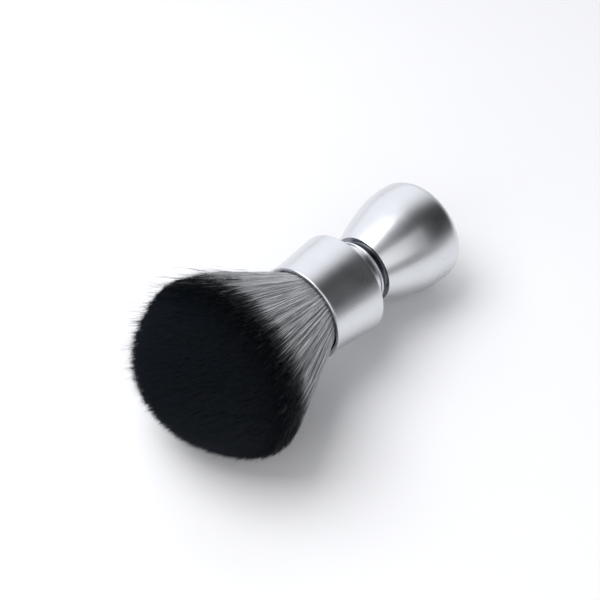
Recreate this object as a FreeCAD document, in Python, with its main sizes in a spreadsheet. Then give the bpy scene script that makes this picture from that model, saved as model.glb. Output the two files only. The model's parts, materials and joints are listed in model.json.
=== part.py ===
import FreeCAD, Part

import os
from collections import namedtuple

import Sketcher

# A short neck duster brush, lying on its side as it is put down between two customers.
# Every piece is turned about the brush's own axis.  In a piece's own frame X runs along that
# axis: 0 at the mouth of the ferrule, positive towards the handle, negative into the bristles.
# The pieces are then tilted together, so that the handle's bulb and the bristles both rest on
# Z = 0, and shifted so that the origin is at the bottom centre of the whole brush.

SIZES = (
    # alias, value in millimetres or degrees, what it is
    ("tilt", 6.5, "slope of the axis when the brush lies down"),
    ("ferrule_length", 20.4, "mouth to rim"),
    ("ferrule_mouth", 16.05, "outer radius at the mouth"),
    ("ferrule_rim", 17.8, "outer radius at the rim"),
    ("ferrule_wall", 0.8, "sheet thickness"),
    ("rim_round", 0.6, "rounding of the rim"),
    ("lip_round", 0.5, "radius of the rolled lip"),
    ("back_step", 1.2, "how far the back wall stands behind the rim"),
    ("back_flat", 11.6, "radius of the flat seat in the back wall"),
    ("handle_end", 61.1, "mouth to the flat end of the handle"),
    ("belly", 18.2, "largest radius of the bulb"),
    ("belly_place", 54.5, "where the bulb is widest"),
    ("belly_round", 36.0, "profile radius at the widest place"),
    ("belly_turn", 14.0, "angle at which the belly meets the flank"),
    ("flank_round", 95.0, "profile radius of the flank"),
    ("flank_turn", 24.0, "angle at which the flank meets the waist"),
    ("corner_round", 4.2, "rounding at the flat end"),
    ("corner_turn", 4.33, "angle at which the end's rounding meets the belly"),
    ("waist", 9.9, "smallest radius of the neck"),
    ("waist_place", 29.2, "end of the waist on the bulb's side"),
    ("collar", 10.9, "radius of the neck between ferrule and bead"),
    ("bead_round", 0.5, "radius of the raised bead on the neck"),
    ("bead_place", 27.6, "middle of the bead"),
    ("spigot", 8.0, "radius of the spigot through the ferrule's back"),
    ("spigot_length", 2.3, "length of the spigot"),
    ("bore", 11.0, "radius of the bore in the bulb"),
    ("bore_bottom", 42.5, "where the bore ends"),
    ("cap", 12.3, "radius of the base cap"),
    ("cap_thick", 1.6, "thickness of the base cap"),
    ("cap_ring", 9.4, "inner radius of the cap's locating ring"),
    ("cap_ring_depth", 1.7, "depth of the locating ring"),
    ("edge_break", 0.3, "chamfer on turned edges"),
    ("play", 0.1, "clearance of the slip fits"),
    ("slug_length", 8.3, "length of the balance weight"),
    ("screw", 2.5, "screw shank radius"),
    ("screw_length", 30.0, "length of the shank"),
    ("screw_head", 4.25, "head radius"),
    ("screw_head_high", 5.0, "head height"),
    ("hex_socket", 2.3, "corner radius of the hexagon socket"),
    ("hex_depth", 2.6, "depth of the hexagon socket"),
    ("washer", 5.2, "washer's outer radius"),
    ("washer_thick", 1.2, "washer's thickness"),
    ("insert", 4.2, "outer radius of the threaded insert"),
    ("insert_waist", 3.8, "radius of the insert's glue groove"),
    ("insert_length", 6.5, "length of the threaded insert"),
    ("cup", 15.1, "outer radius of the knot cup"),
    ("cup_wall", 1.1, "wall of the knot cup"),
    ("cup_floor", 3.0, "floor of the knot cup"),
    ("cup_top", 2.4, "cup's edge below the ferrule's mouth"),
    ("cup_boss", 6.5, "radius of the boss that holds the insert"),
    ("resin_top", 8.0, "top of the resin below the ferrule's mouth"),
    ("knot", 12.4, "radius of the tied bristles"),
    ("band_high", 2.0, "height of the band around the knot"),
    ("flare", 25.4, "half angle of the spreading bristles"),
    ("crest", 30.2, "largest radius of the bristle head"),
    ("crest_place", 34.9, "widest ring of the head, from the mouth"),
    ("crest_round", 14.0, "profile radius at the widest ring"),
)

# The lying brush touches the surface with the rounding at the end of its bulb, and this is
# how high its axis then passes over the surface at the ferrule's mouth.
END_RADIUS = "( belly - belly_round + ( belly_round - corner_round ) * cos( corner_turn ) )"
AXIS_HEIGHT = (
    f"( ( handle_end - corner_round ) * sin( tilt ) + {END_RADIUS} * cos( tilt ) + corner_round )"
)

# A corner may start an arc: the size that holds its radius, or ON_AXIS for part of a sphere,
# whose centre lies on the brush's axis, and the way that the arc turns.
LEFT, RIGHT = 1, -1
ON_AXIS = "on axis"
Corner = namedtuple("Corner", "name x r arc", defaults=(None,))

doc = FreeCAD.newDocument("neck_duster_brush")
sheet = doc.addObject("Spreadsheet::Sheet", "Sizes")


def fill_sheet():
    """One row for each size: a note in column A, the number in column B."""
    for row, (alias, value, note) in enumerate(SIZES, start=1):
        sheet.set(f"A{row}", note)
        sheet.set(f"B{row}", str(value))
        sheet.setAlias(f"B{row}", alias)
    doc.recompute()


def formula(text):
    """The same formula with each size's name pointing at its cell."""
    aliases = {alias for alias, value, note in SIZES}
    words = text.split()
    return " ".join(f"Sizes.{word}" if word in aliases else word for word in words)


def origin_feature(body, role):
    return next(f for f in body.Origin.OriginFeatures if f.Role == role)


def new_body(label):
    body = doc.addObject("PartDesign::Body", label)
    body.Label = label
    return body


def new_sketch(body, name, plane):
    sketch = body.newObject("Sketcher::SketchObject", name)
    sketch.AttachmentSupport = [(origin_feature(body, plane), "")]
    sketch.MapMode = "FlatFace"
    return sketch


def dimension(sketch, name, constraint, text):
    """Add a named constraint and bind it to the sheet."""
    sketch.renameConstraint(sketch.addConstraint(constraint), name)
    sketch.setExpression(f"Constraints.{name}", formula(text))


def sphere_centre(start, end):
    """The point on the axis that is as far from start as from end."""
    along = (start.Length**2 - end.Length**2) / (start.x - end.x) / 2
    return FreeCAD.Vector(along, 0, 0)


def rounding_centre(start, end, radius, turn):
    """The centre of the shorter arc of this radius from start to end."""
    chord = end - start
    to_centre = FreeCAD.Vector(-chord.y, chord.x, 0).normalize() * turn
    return (start + end) / 2 + to_centre * max(radius**2 - chord.Length**2 / 4, 0) ** 0.5


def arc_between(start, end, centre, turn):
    circle = Part.Circle(centre, FreeCAD.Vector(0, 0, 1), centre.distanceToPoint(start))
    ends = (start, end) if turn == LEFT else (end, start)
    return Part.ArcOfCircle(circle, circle.parameter(ends[0]), circle.parameter(ends[1]))


def draw_arc(sketch, corner, start, end):
    """An arc whose radius comes from the sheet, or whose centre lies on the axis."""
    size, turn = corner.arc
    if size == ON_AXIS:
        centre = sphere_centre(start, end)
    else:
        centre = rounding_centre(start, end, float(sheet.get(size)), turn)
    edge = sketch.addGeometry(arc_between(start, end, centre, turn), False)
    if size == ON_AXIS:
        sketch.addConstraint(Sketcher.Constraint("PointOnObject", edge, 3, -1))
    else:
        bend = Sketcher.Constraint("Radius", edge, float(sheet.get(size)))
        dimension(sketch, f"{corner.name}_round", bend, size)
    return edge


def draw_outline(sketch, corners):
    """A closed outline: corners held by dimensions, joined by lines or arcs."""
    count = len(corners)
    for index, corner in enumerate(corners):
        sketch.addGeometry(Part.Point(FreeCAD.Vector(index, index, 0)), True)
        along = Sketcher.Constraint("DistanceX", -1, 1, index, 1, 1.0)
        across = Sketcher.Constraint("DistanceY", -1, 1, index, 1, 1.0)
        dimension(sketch, f"{corner.name}_x", along, corner.x)
        dimension(sketch, f"{corner.name}_r", across, corner.r)
    doc.recompute()
    points = [sketch.getPoint(index, 1) for index in range(count)]
    for index, corner in enumerate(corners):
        following = (index + 1) % count
        ends = (1, 2)
        if corner.arc is None:
            edge = sketch.addGeometry(Part.LineSegment(points[index], points[following]), False)
        else:
            edge = draw_arc(sketch, corner, points[index], points[following])
            if corner.arc[1] == RIGHT:
                ends = (2, 1)
        sketch.addConstraint(Sketcher.Constraint("Coincident", edge, ends[0], index, 1))
        sketch.addConstraint(Sketcher.Constraint("Coincident", edge, ends[1], following, 1))


def turned(label, corners):
    """A body turned about the brush's axis from half its section."""
    body = new_body(label)
    sketch = new_sketch(body, f"{label}_section", "XZ_Plane")
    draw_outline(sketch, corners)
    turning = body.newObject("PartDesign::Revolution", f"{label}_turned")
    turning.Profile = sketch
    turning.ReferenceAxis = (origin_feature(body, "X_Axis"), [""])
    turning.Angle = 360
    doc.recompute()
    return body


def make_ferrule():
    """Drawn cup with a rolled lip, a crisp rim and a hole in its back for the spigot."""
    lip = "ferrule_mouth + lip_round"
    back = "ferrule_length + back_step"
    inside = "ferrule_length + back_step - ferrule_wall"
    return turned("ferrule", (
        Corner("mouth_inside", "edge_break", "ferrule_mouth - ferrule_wall"),
        Corner("lip_front", "0", "ferrule_mouth", ("lip_round", RIGHT)),
        Corner("lip_top", "lip_round", lip, ("lip_round", RIGHT)),
        Corner("lip_back", "lip_round * 2", "ferrule_mouth"),
        Corner("rim", "ferrule_length - rim_round", "ferrule_rim", ("rim_round", RIGHT)),
        Corner("rim_back", "ferrule_length", "ferrule_rim - rim_round"),
        Corner("back_outer", back, "back_flat"),
        Corner("back_hole", back, "spigot + play"),
        Corner("inside_hole", inside, "spigot + play"),
        Corner("inside_flat", inside, "back_flat"),
        Corner("inside_corner", "ferrule_length - ferrule_wall", "ferrule_rim - ferrule_wall * 2"),
        Corner("inside_rim", "ferrule_length - ferrule_wall * 2", "ferrule_rim - ferrule_wall"),
    ))


def make_handle_body():
    """Turned neck and bulb, bored from its flat end for the screw and the balance weight."""
    seat = "ferrule_length + back_step"
    spigot_end = f"{seat} - spigot_length"
    belly_centre = "belly - belly_round"
    flank_centre = f"{belly_centre} - ( flank_round - belly_round ) * cos( belly_turn )"
    flank_middle = "belly_place + ( flank_round - belly_round ) * sin( belly_turn )"
    cap_seat = "handle_end - cap_thick"
    return turned("handle_body", (
        Corner("screw_way", spigot_end, "screw + play * 2"),
        Corner("spigot_face", spigot_end, "spigot - edge_break"),
        Corner("spigot_edge", f"{spigot_end} + edge_break", "spigot"),
        Corner("seat_inner", seat, "spigot"),
        Corner("seat_outer", seat, "collar"),
        Corner("bead_front", "bead_place - bead_round", "collar", ("bead_round", RIGHT)),
        Corner("bead_top", "bead_place", "collar + bead_round", ("bead_round", RIGHT)),
        Corner("bead_back", "bead_place + bead_round", "collar"),
        Corner("waist_front", "bead_place + bead_round + edge_break", "waist"),
        Corner("waist_back", "waist_place", "waist"),
        Corner("flank_start", f"{flank_middle} - flank_round * sin( flank_turn )",
               f"{flank_centre} + flank_round * cos( flank_turn )", ("flank_round", RIGHT)),
        Corner("belly_start", "belly_place - belly_round * sin( belly_turn )",
               f"{belly_centre} + belly_round * cos( belly_turn )", ("belly_round", RIGHT)),
        Corner("end_start", "belly_place + belly_round * sin( corner_turn )",
               f"{belly_centre} + belly_round * cos( corner_turn )", ("corner_round", RIGHT)),
        Corner("end_face", "handle_end", END_RADIUS),
        Corner("cap_mouth", "handle_end", "cap + play"),
        Corner("cap_seat", cap_seat, "cap + play"),
        Corner("bore_mouth", cap_seat, "bore"),
        Corner("bore_bottom", "bore_bottom", "bore"),
        Corner("screw_seat", "bore_bottom", "screw + play * 2"),
    ))


def make_base_cap():
    """Flush disc with a locating ring, pressed into the flat end of the bulb."""
    inner = "handle_end - cap_thick"
    ring_end = f"{inner} - cap_ring_depth"
    return turned("base_cap", (
        Corner("face_centre", "handle_end", "0"),
        Corner("face_edge", "handle_end", "cap - edge_break"),
        Corner("rim_front", "handle_end - edge_break", "cap"),
        Corner("rim_back", inner, "cap"),
        Corner("ring_root", inner, "bore - play"),
        Corner("ring_outer", ring_end, "bore - play"),
        Corner("ring_inner", ring_end, "cap_ring"),
        Corner("ring_foot", inner, "cap_ring"),
        Corner("back_centre", inner, "0"),
    ))


def make_weight_slug():
    """Steel slug that brings the balance into the bulb."""
    start = "bore_bottom + washer_thick + screw_head_high + play * 4"
    end = f"{start} + slug_length"
    side = "bore - play"
    return turned("weight_slug", (
        Corner("front_centre", start, "0"),
        Corner("front_edge", start, f"{side} - edge_break"),
        Corner("side_front", f"{start} + edge_break", side),
        Corner("side_back", f"{end} - edge_break", side),
        Corner("back_edge", end, f"{side} - edge_break"),
        Corner("back_centre", end, "0"),
    ))


def make_clamp_screw():
    """Socket-head screw that draws the knot cup, ferrule and handle together."""
    under_head = "bore_bottom + washer_thick"
    top = f"{under_head} + screw_head_high"
    tip = f"{under_head} - screw_length"
    body = turned("clamp_screw", (
        Corner("top_centre", top, "0"),
        Corner("top_edge", top, "screw_head - edge_break"),
        Corner("head_top", f"{top} - edge_break", "screw_head"),
        Corner("head_bottom", under_head, "screw_head"),
        Corner("shank_root", under_head, "screw"),
        Corner("shank_end", f"{tip} + edge_break * 2", "screw"),
        Corner("tip_edge", tip, "screw - edge_break * 2"),
        Corner("tip_centre", tip, "0"),
    ))
    before = body.Shape.Volume
    socket = body.newObject("PartDesign::SubtractivePrism", "hexagon_socket")
    socket.Polygon = 6
    socket.setExpression("Circumradius", formula("hex_socket"))
    socket.setExpression("Height", formula("hex_depth"))
    socket.Placement.Rotation = FreeCAD.Rotation(FreeCAD.Vector(0, 1, 0), 90)
    socket.setExpression("Placement.Base.x", formula(f"{top} - hex_depth"))
    body.Tip = socket
    doc.recompute()
    if body.Shape.Volume >= before:
        raise RuntimeError("the hexagon socket cuts nothing")
    return body


def make_lock_washer():
    """Washer under the screw's head."""
    top = "bore_bottom + washer_thick"
    hole = "screw + play * 2"
    return turned("lock_washer", (
        Corner("hole_front", "bore_bottom", hole),
        Corner("rim_front", "bore_bottom", "washer"),
        Corner("rim_back", f"{top} - edge_break", "washer"),
        Corner("rim_top", top, "washer - edge_break"),
        Corner("hole_back", top, hole),
    ))


def make_threaded_insert():
    """Brass insert with a groove round its middle that locks it in the boss."""
    end = "ferrule_length + back_step - spigot_length - play * 5"
    start = f"{end} - insert_length"
    hole = "screw + play / 2"
    return turned("threaded_insert", (
        Corner("front_hole", start, hole),
        Corner("front_edge", start, "insert"),
        Corner("groove_front", f"{start} + insert_length * 0.3", "insert"),
        Corner("groove_floor", f"{start} + insert_length * 0.3 + edge_break", "insert_waist"),
        Corner("groove_foot", f"{end} - insert_length * 0.3 - edge_break", "insert_waist"),
        Corner("groove_back", f"{end} - insert_length * 0.3", "insert"),
        Corner("back_edge", end, "insert"),
        Corner("back_hole", end, hole),
    ))


def make_knot_cup():
    """Moulded cup inside the ferrule, which holds the insert and the foot of the bristles."""
    back = "ferrule_length + back_step - ferrule_wall"
    recess = "ferrule_length + back_step - spigot_length - play"
    floor = f"{back} - cup_floor"
    boss = "ferrule_length + back_step - spigot_length - play * 5 - insert_length"
    hole = "insert + play / 2"
    return turned("knot_cup", (
        Corner("recess_hole", recess, hole),
        Corner("recess_edge", recess, "spigot + play"),
        Corner("back_inner", back, "spigot + play"),
        Corner("back_outer", back, "back_flat - play"),
        Corner("side_back", "ferrule_length - ferrule_wall - play", "cup"),
        Corner("top_outer", "cup_top", "cup"),
        Corner("top_inner", "cup_top", "cup - cup_wall"),
        Corner("floor_edge", floor, "cup - cup_wall"),
        Corner("boss_root", floor, "cup_boss"),
        Corner("boss_edge", boss, "cup_boss"),
        Corner("boss_hole", boss, hole),
    ))


def make_resin_plug():
    """Cast resin that bonds the ends of the fibres round the boss."""
    floor = "ferrule_length + back_step - ferrule_wall - cup_floor - play"
    boss = "ferrule_length + back_step - spigot_length - play * 6 - insert_length"
    side = "cup - cup_wall - play"
    return turned("resin_plug", (
        Corner("top_centre", "resin_top", "0"),
        Corner("top_edge", "resin_top", side),
        Corner("floor_edge", floor, side),
        Corner("floor_boss", floor, "cup_boss + play"),
        Corner("boss_top", boss, "cup_boss + play"),
        Corner("boss_centre", boss, "0"),
    ))


def make_knot_band():
    """Tight band that ties the fibres before they are set in the resin."""
    back = "resin_top - play"
    front = f"{back} - band_high"
    outside = "cup - cup_wall - play"
    return turned("knot_band", (
        Corner("front_inner", front, "knot + play"),
        Corner("front_outer", front, f"{outside} - edge_break"),
        Corner("side_front", f"{front} + edge_break", outside),
        Corner("side_back", f"{back} - edge_break", outside),
        Corner("back_outer", back, f"{outside} - edge_break"),
        Corner("back_inner", back, "knot + play"),
    ))


def make_bristle_head():
    """Outer form of the spreading fibres, with the flat where they press on the surface."""
    tangent = "( crest - crest_round + crest_round * cos( flare ) )"
    crest_start = "( crest_round * sin( flare ) - crest_place )"
    crest_end = "( 0 - crest_round * sin( flare ) - crest_place )"
    body = turned("bristle_head", (
        Corner("root_centre", "resin_top - play", "0"),
        Corner("root_edge", "resin_top - play", "knot"),
        Corner("knot_edge", f"{crest_start} + ( {tangent} - knot ) / tan( flare )", "knot"),
        Corner("crest_start", crest_start, tangent, ("crest_round", LEFT)),
        Corner("crest_end", crest_end, tangent, (ON_AXIS, LEFT)),
        Corner("pole", f"{crest_end} + {tangent} * ( tan( flare ) - 1 / cos( flare ) )", "0"),
    ))
    before = body.Shape.Volume
    flat = new_sketch(body, "resting_flat_section", "XZ_Plane")
    near, far = "( 0 - crest_place / 3 )", "( 0 - crest_place * 2 )"
    below = "( 0 - crest * 1.5 )"
    draw_outline(flat, (
        Corner("near_top", near, f"{near} * tan( tilt ) - {AXIS_HEIGHT} / cos( tilt )"),
        Corner("near_bottom", near, below),
        Corner("far_bottom", far, below),
        Corner("far_top", far, f"{far} * tan( tilt ) - {AXIS_HEIGHT} / cos( tilt )"),
    ))
    cut = body.newObject("PartDesign::Pocket", "resting_flat")
    cut.Profile = flat
    cut.setExpression("Length", formula("crest * 2"))
    cut.Midplane = True
    body.Tip = cut
    doc.recompute()
    if body.Shape.Volume >= before:
        raise RuntimeError("the resting flat cuts nothing")
    return body


def lay_down(bodies):
    """Tilt every piece alike, and bring the whole brush's bottom centre to the origin."""
    tilt = FreeCAD.Rotation(FreeCAD.Vector(0, 1, 0), float(sheet.get("tilt")))
    turned_only = FreeCAD.Placement(FreeCAD.Vector(), tilt)
    whole = Part.makeCompound([body.Shape.copy() for body in bodies])
    whole.Placement = turned_only
    box = whole.optimalBoundingBox(False)
    shift = FreeCAD.Vector(-box.Center.x, -box.Center.y, -box.ZMin)
    for body in bodies:
        body.Placement = FreeCAD.Placement(shift, tilt)
    doc.recompute()


def check_and_write(bodies):
    """Every feature has to be sound before any file is written."""
    for item in doc.Objects:
        if {"Invalid", "Error"} & set(item.State):
            raise RuntimeError(f"{item.Name} failed: {item.State}")
    for body in bodies:
        if body.Shape.isNull() or not body.Shape.isValid() or len(body.Shape.Solids) != 1:
            raise RuntimeError(f"{body.Label} isn't one sound solid")
    os.makedirs("parts", exist_ok=True)
    for body in bodies:
        body.Shape.exportStep(f"parts/{body.Label}.step")
        print(f"{body.Label}: {body.Shape.Volume / 1000:.2f} cm3")


MAKERS = (
    make_ferrule,
    make_handle_body,
    make_base_cap,
    make_weight_slug,
    make_clamp_screw,
    make_lock_washer,
    make_threaded_insert,
    make_knot_cup,
    make_resin_plug,
    make_knot_band,
    make_bristle_head,
)

fill_sheet()
pieces = [make() for make in MAKERS]
lay_down(pieces)
check_and_write(pieces)
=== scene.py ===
import json
import math

import bmesh
import bpy
from mathutils import Matrix, Vector


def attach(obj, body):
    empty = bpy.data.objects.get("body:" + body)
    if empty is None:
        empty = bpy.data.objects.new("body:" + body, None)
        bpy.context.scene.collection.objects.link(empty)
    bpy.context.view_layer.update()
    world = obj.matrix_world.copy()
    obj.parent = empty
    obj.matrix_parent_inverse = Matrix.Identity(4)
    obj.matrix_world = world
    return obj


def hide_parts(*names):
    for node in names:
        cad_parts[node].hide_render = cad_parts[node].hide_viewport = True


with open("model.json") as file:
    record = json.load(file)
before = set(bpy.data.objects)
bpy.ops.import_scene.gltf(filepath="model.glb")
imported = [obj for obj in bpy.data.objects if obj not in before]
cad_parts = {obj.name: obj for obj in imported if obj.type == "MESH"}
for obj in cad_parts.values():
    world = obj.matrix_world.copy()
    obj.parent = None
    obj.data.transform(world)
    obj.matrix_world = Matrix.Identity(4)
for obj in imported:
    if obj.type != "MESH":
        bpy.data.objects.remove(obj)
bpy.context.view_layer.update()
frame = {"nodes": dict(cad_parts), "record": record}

MM = 0.001

# ---------------------------------------------------------------- sizes of the turned pieces
# Radii, and places along the brush from the ferrule's mouth, as the CAD model has them.
FERRULE_LENGTH = 20.4 * MM
FERRULE_MOUTH = 16.05 * MM
FERRULE_RIM = 17.8 * MM
FERRULE_WALL = 0.8 * MM
FERRULE_BACK = FERRULE_LENGTH + 1.2 * MM     # the back wall stands behind the rim
BACK_FLAT = 11.6 * MM
RIM_ROUND = 0.6 * MM
LIP_ROUND = 0.5 * MM
SPIGOT = 8.0 * MM
SPIGOT_END = FERRULE_BACK - 2.3 * MM
COLLAR = 10.9 * MM
BEAD_PLACE = 27.6 * MM
BEAD_ROUND = 0.5 * MM
WAIST = 9.9 * MM
WAIST_END = 29.2 * MM
BELLY = 18.2 * MM
BELLY_PLACE = 54.5 * MM
BELLY_ROUND = 36.0 * MM
BELLY_TURN = math.radians(14.0)
FLANK_ROUND = 95.0 * MM
FLANK_TURN = math.radians(24.0)
CORNER_ROUND = 4.2 * MM
CORNER_TURN = math.radians(4.33)
HANDLE_END = 61.1 * MM
BORE = 11.0 * MM
BORE_BOTTOM = 42.5 * MM
SCREW_WAY = 2.7 * MM
CAP = 12.3 * MM
CAP_SEAT = HANDLE_END - 1.6 * MM
CAP_RING = 9.4 * MM
CAP_RING_END = CAP_SEAT - 1.7 * MM
EDGE_BREAK = 0.3 * MM
PLAY = 0.1 * MM
BELLY_CENTRE = BELLY - BELLY_ROUND
FLANK_GAP = FLANK_ROUND - BELLY_ROUND
FLANK_CENTRE = BELLY_CENTRE - FLANK_GAP * math.cos(BELLY_TURN)
FLANK_MIDDLE = BELLY_PLACE + FLANK_GAP * math.sin(BELLY_TURN)
FLANK_START = FLANK_MIDDLE - FLANK_ROUND * math.sin(FLANK_TURN)

# ---------------------------------------------------------------- the brush's own axis
# In a piece's own frame X runs along the brush: 0 at the ferrule's mouth, positive towards
# the handle.  BRUSH turns that frame into the shared frame, where the brush lies down.
MOUNTS = {mount["name"]: mount for mount in frame["record"]["mounts"]}
AXIS = Vector(MOUNTS["base_face"]["axis"]).normalized()
MOUTH = Vector(MOUNTS["base_face"]["pos_m"]) - AXIS * HANDLE_END
TILT = math.asin(-AXIS.z)
BRUSH = Matrix.Translation(MOUTH) @ Matrix.Rotation(TILT, 4, "Y")

# ---------------------------------------------------------------- the bristle bundle
FLARE = math.radians(25.5)                  # half angle of the spreading bundle
BUNDLE_MOUTH = 14.5 * MM                    # its radius in the ferrule's mouth
CREST = 29.9 * MM                           # widest radius, where the dome meets the flank
CREST_PLACE = -37.6 * MM
DOME_ROUND = 32.2 * MM
DOME_CENTRE = CREST_PLACE + math.sqrt(DOME_ROUND ** 2 - CREST ** 2)
DOME_TOP = DOME_ROUND - DOME_CENTRE         # from the mouth to the dome's middle
FOCUS = BUNDLE_MOUTH / math.tan(FLARE)      # every fibre's line leads back to this point
TURN_IN = FLARE * 0.85                      # beyond this angle the tips fall short
CREST_DROP = 1.6 * MM                       # how much shorter the outermost fibres are
# The dome sags to one side: its middle has moved this far, the crest hardly at all.
LEAN = Vector((0.0, 4.8, -0.6)) * MM
LEAN_START = FOCUS + 46.5 * MM
LEAN_POWER = 0.9

# ---------------------------------------------------------------- how the fibres vary
SEED_STEP = 101.0                           # between the seeds of one group's random draws
OUTLIER_POWER = 3.0                         # the higher, the fewer tips stand out
OUTLIER_REACH = 3.0                         # how far those stand out, in tip scatters
GAUGE_LOW, GAUGE_HIGH = 0.35, 0.65          # a fibre's radius as a share of its thickness
TONE_LOW, TONE_HIGH = 0.36, 0.64            # the noise values drawn as darkest and lightest
WHOLE_LENGTH = 200 * MM                     # longer than any fibre: it starts in the ferrule


def linear(code):
    """An sRGB hex colour as linear red, green, blue and alpha."""
    parts = [int(code[i:i + 2], 16) / 255 for i in (1, 3, 5)]
    return [p / 12.92 if p <= 0.04045 else ((p + 0.055) / 1.055) ** 2.4 for p in parts] + [1.0]


def add(tree, kind, settings=None, inputs=None):
    """A new node with its settings, and each input set to a value or linked to a socket."""
    node = tree.nodes.new(kind)
    for name, value in (settings or {}).items():
        setattr(node, name, value)
    for key, value in (inputs or {}).items():
        if isinstance(value, bpy.types.NodeSocket):
            tree.links.new(value, node.inputs[key])
        else:
            node.inputs[key].default_value = value
    return node


def new_material(name, roughness, metallic=0.0, specular=0.5):
    """An empty node material with its surface shader, ready for colour and bump."""
    material = bpy.data.materials.new(name)
    material.use_nodes = True
    tree = material.node_tree
    tree.nodes.clear()
    surface = add(tree, "ShaderNodeBsdfPrincipled", {}, {
        "Roughness": roughness, "Metallic": metallic, "Specular IOR Level": specular})
    add(tree, "ShaderNodeOutputMaterial", {}, {"Surface": surface.outputs[0]})
    return material, tree, surface


# ---------------------------------------------------------------- materials

def satin_aluminium():
    """Turned aluminium, bead blasted and clear anodised: an even silver with soft reflections.
    The grit is far finer than the eye resolves, so it is in the roughness, and the relief is
    the faint unevenness that blasting leaves."""
    material, tree, surface = new_material("bead_blasted_anodised_aluminium", 0.3, 1.0)
    place = add(tree, "ShaderNodeTexCoord").outputs["Object"]
    cloud = add(tree, "ShaderNodeTexNoise", {}, {
        "Vector": place, "Scale": 1 / (9 * MM), "Detail": 3.0, "Roughness": 0.5})
    colour = add(tree, "ShaderNodeMix", {"data_type": "RGBA"}, {
        0: cloud.outputs["Fac"], 6: linear("#d6d8dc"), 7: linear("#e0e2e5")})
    rough = add(tree, "ShaderNodeMapRange", {}, {
        0: cloud.outputs["Fac"], 1: 0.3, 2: 0.7, 3: 0.27, 4: 0.31})
    bump = add(tree, "ShaderNodeBump", {}, {
        "Height": cloud.outputs["Fac"], "Strength": 0.2, "Distance": 0.05 * MM})
    tree.links.new(colour.outputs[2], surface.inputs["Base Color"])
    tree.links.new(rough.outputs[0], surface.inputs["Roughness"])
    tree.links.new(bump.outputs[0], surface.inputs["Normal"])
    return material


def inner_piece(name, dark, light, roughness, metallic, grain, height):
    """A working piece inside the handle: two close colours and a fine relief of this grain,
    as plating, machining or moulding leaves them."""
    material, tree, surface = new_material(name, roughness, metallic)
    place = add(tree, "ShaderNodeTexCoord").outputs["Object"]
    relief = add(tree, "ShaderNodeTexNoise", {}, {
        "Vector": place, "Scale": 1 / grain, "Detail": 3.0})
    colour = add(tree, "ShaderNodeMix", {"data_type": "RGBA"}, {
        0: relief.outputs["Fac"], 6: linear(dark), 7: linear(light)})
    bump = add(tree, "ShaderNodeBump", {}, {
        "Height": relief.outputs["Fac"], "Strength": 0.3, "Distance": height})
    tree.links.new(colour.outputs[2], surface.inputs["Base Color"])
    tree.links.new(bump.outputs[0], surface.inputs["Normal"])
    return material


def drawn_fibre(name, shaded, lit, tip, low, high, roughness, specular):
    """Drawn synthetic fibre, lightly glossy: by their tone, locks of fibres lie between a shaded and
    a lit colour, which is painted light, shade and sheen, and every fibre is darker towards its tip:
    partly its own dark tip, partly painted shade where the tips trap light."""
    material, tree, surface = new_material(name, roughness, 0.0, specular)
    tone = add(tree, "ShaderNodeAttribute", {"attribute_name": "tone"})
    along = add(tree, "ShaderNodeAttribute", {"attribute_name": "along"})
    colour = add(tree, "ShaderNodeMix", {"data_type": "RGBA"}, {
        0: tone.outputs["Fac"], 6: linear(shaded), 7: linear(lit)})
    ragged = add(tree, "ShaderNodeMath", {"operation": "MULTIPLY_ADD"}, {
        0: tone.outputs["Fac"], 1: -0.15, 2: along.outputs["Fac"]})
    # darker towards the tip: partly the fibre's own dark tip, partly painted shade where the tips
    # trap light
    tip_dye_and_shade = add(tree, "ShaderNodeMapRange", {"interpolation_type": "SMOOTHSTEP"}, {
        0: ragged.outputs[0], 1: low, 2: high})
    ended = add(tree, "ShaderNodeMix", {"data_type": "RGBA"}, {
        0: tip_dye_and_shade.outputs[0], 6: colour.outputs[2], 7: linear(tip)})
    tree.links.new(ended.outputs[2], surface.inputs["Base Color"])
    return material


def packed_fibre_in_shade():
    """The inside of the bundle, seen only between the outer fibres: near black, with streaks that
    run along it. The darkness is painted shade between the fibres over their own dark colour."""
    material, tree, surface = new_material("packed_fibre_in_shade", 0.8, 0.0, 0.1)
    place = add(tree, "ShaderNodeTexCoord").outputs["Object"]
    streaks = add(tree, "ShaderNodeTexNoise", {}, {
        "Vector": place, "Scale": 1 / (0.6 * MM), "Detail": 2.0})
    colour = add(tree, "ShaderNodeMix", {"data_type": "RGBA"}, {
        0: streaks.outputs["Fac"], 6: linear("#05070a"), 7: linear("#0f1318")})
    tree.links.new(colour.outputs[2], surface.inputs["Base Color"])
    return material


def pale_paper():
    """Seamless studio paper, matt and nearly white."""
    material, tree, surface = new_material("studio_paper", 0.9)
    place = add(tree, "ShaderNodeTexCoord").outputs["Object"]
    pulp = add(tree, "ShaderNodeTexNoise", {}, {
        "Vector": place, "Scale": 1 / (120 * MM), "Detail": 4.0})
    colour = add(tree, "ShaderNodeMix", {"data_type": "RGBA"}, {
        0: pulp.outputs["Fac"], 6: linear("#f0f0f2"), 7: linear("#f4f4f6")})
    tree.links.new(colour.outputs[2], surface.inputs["Base Color"])
    return material


# ---------------------------------------------------------------- fibres by Geometry Nodes

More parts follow.
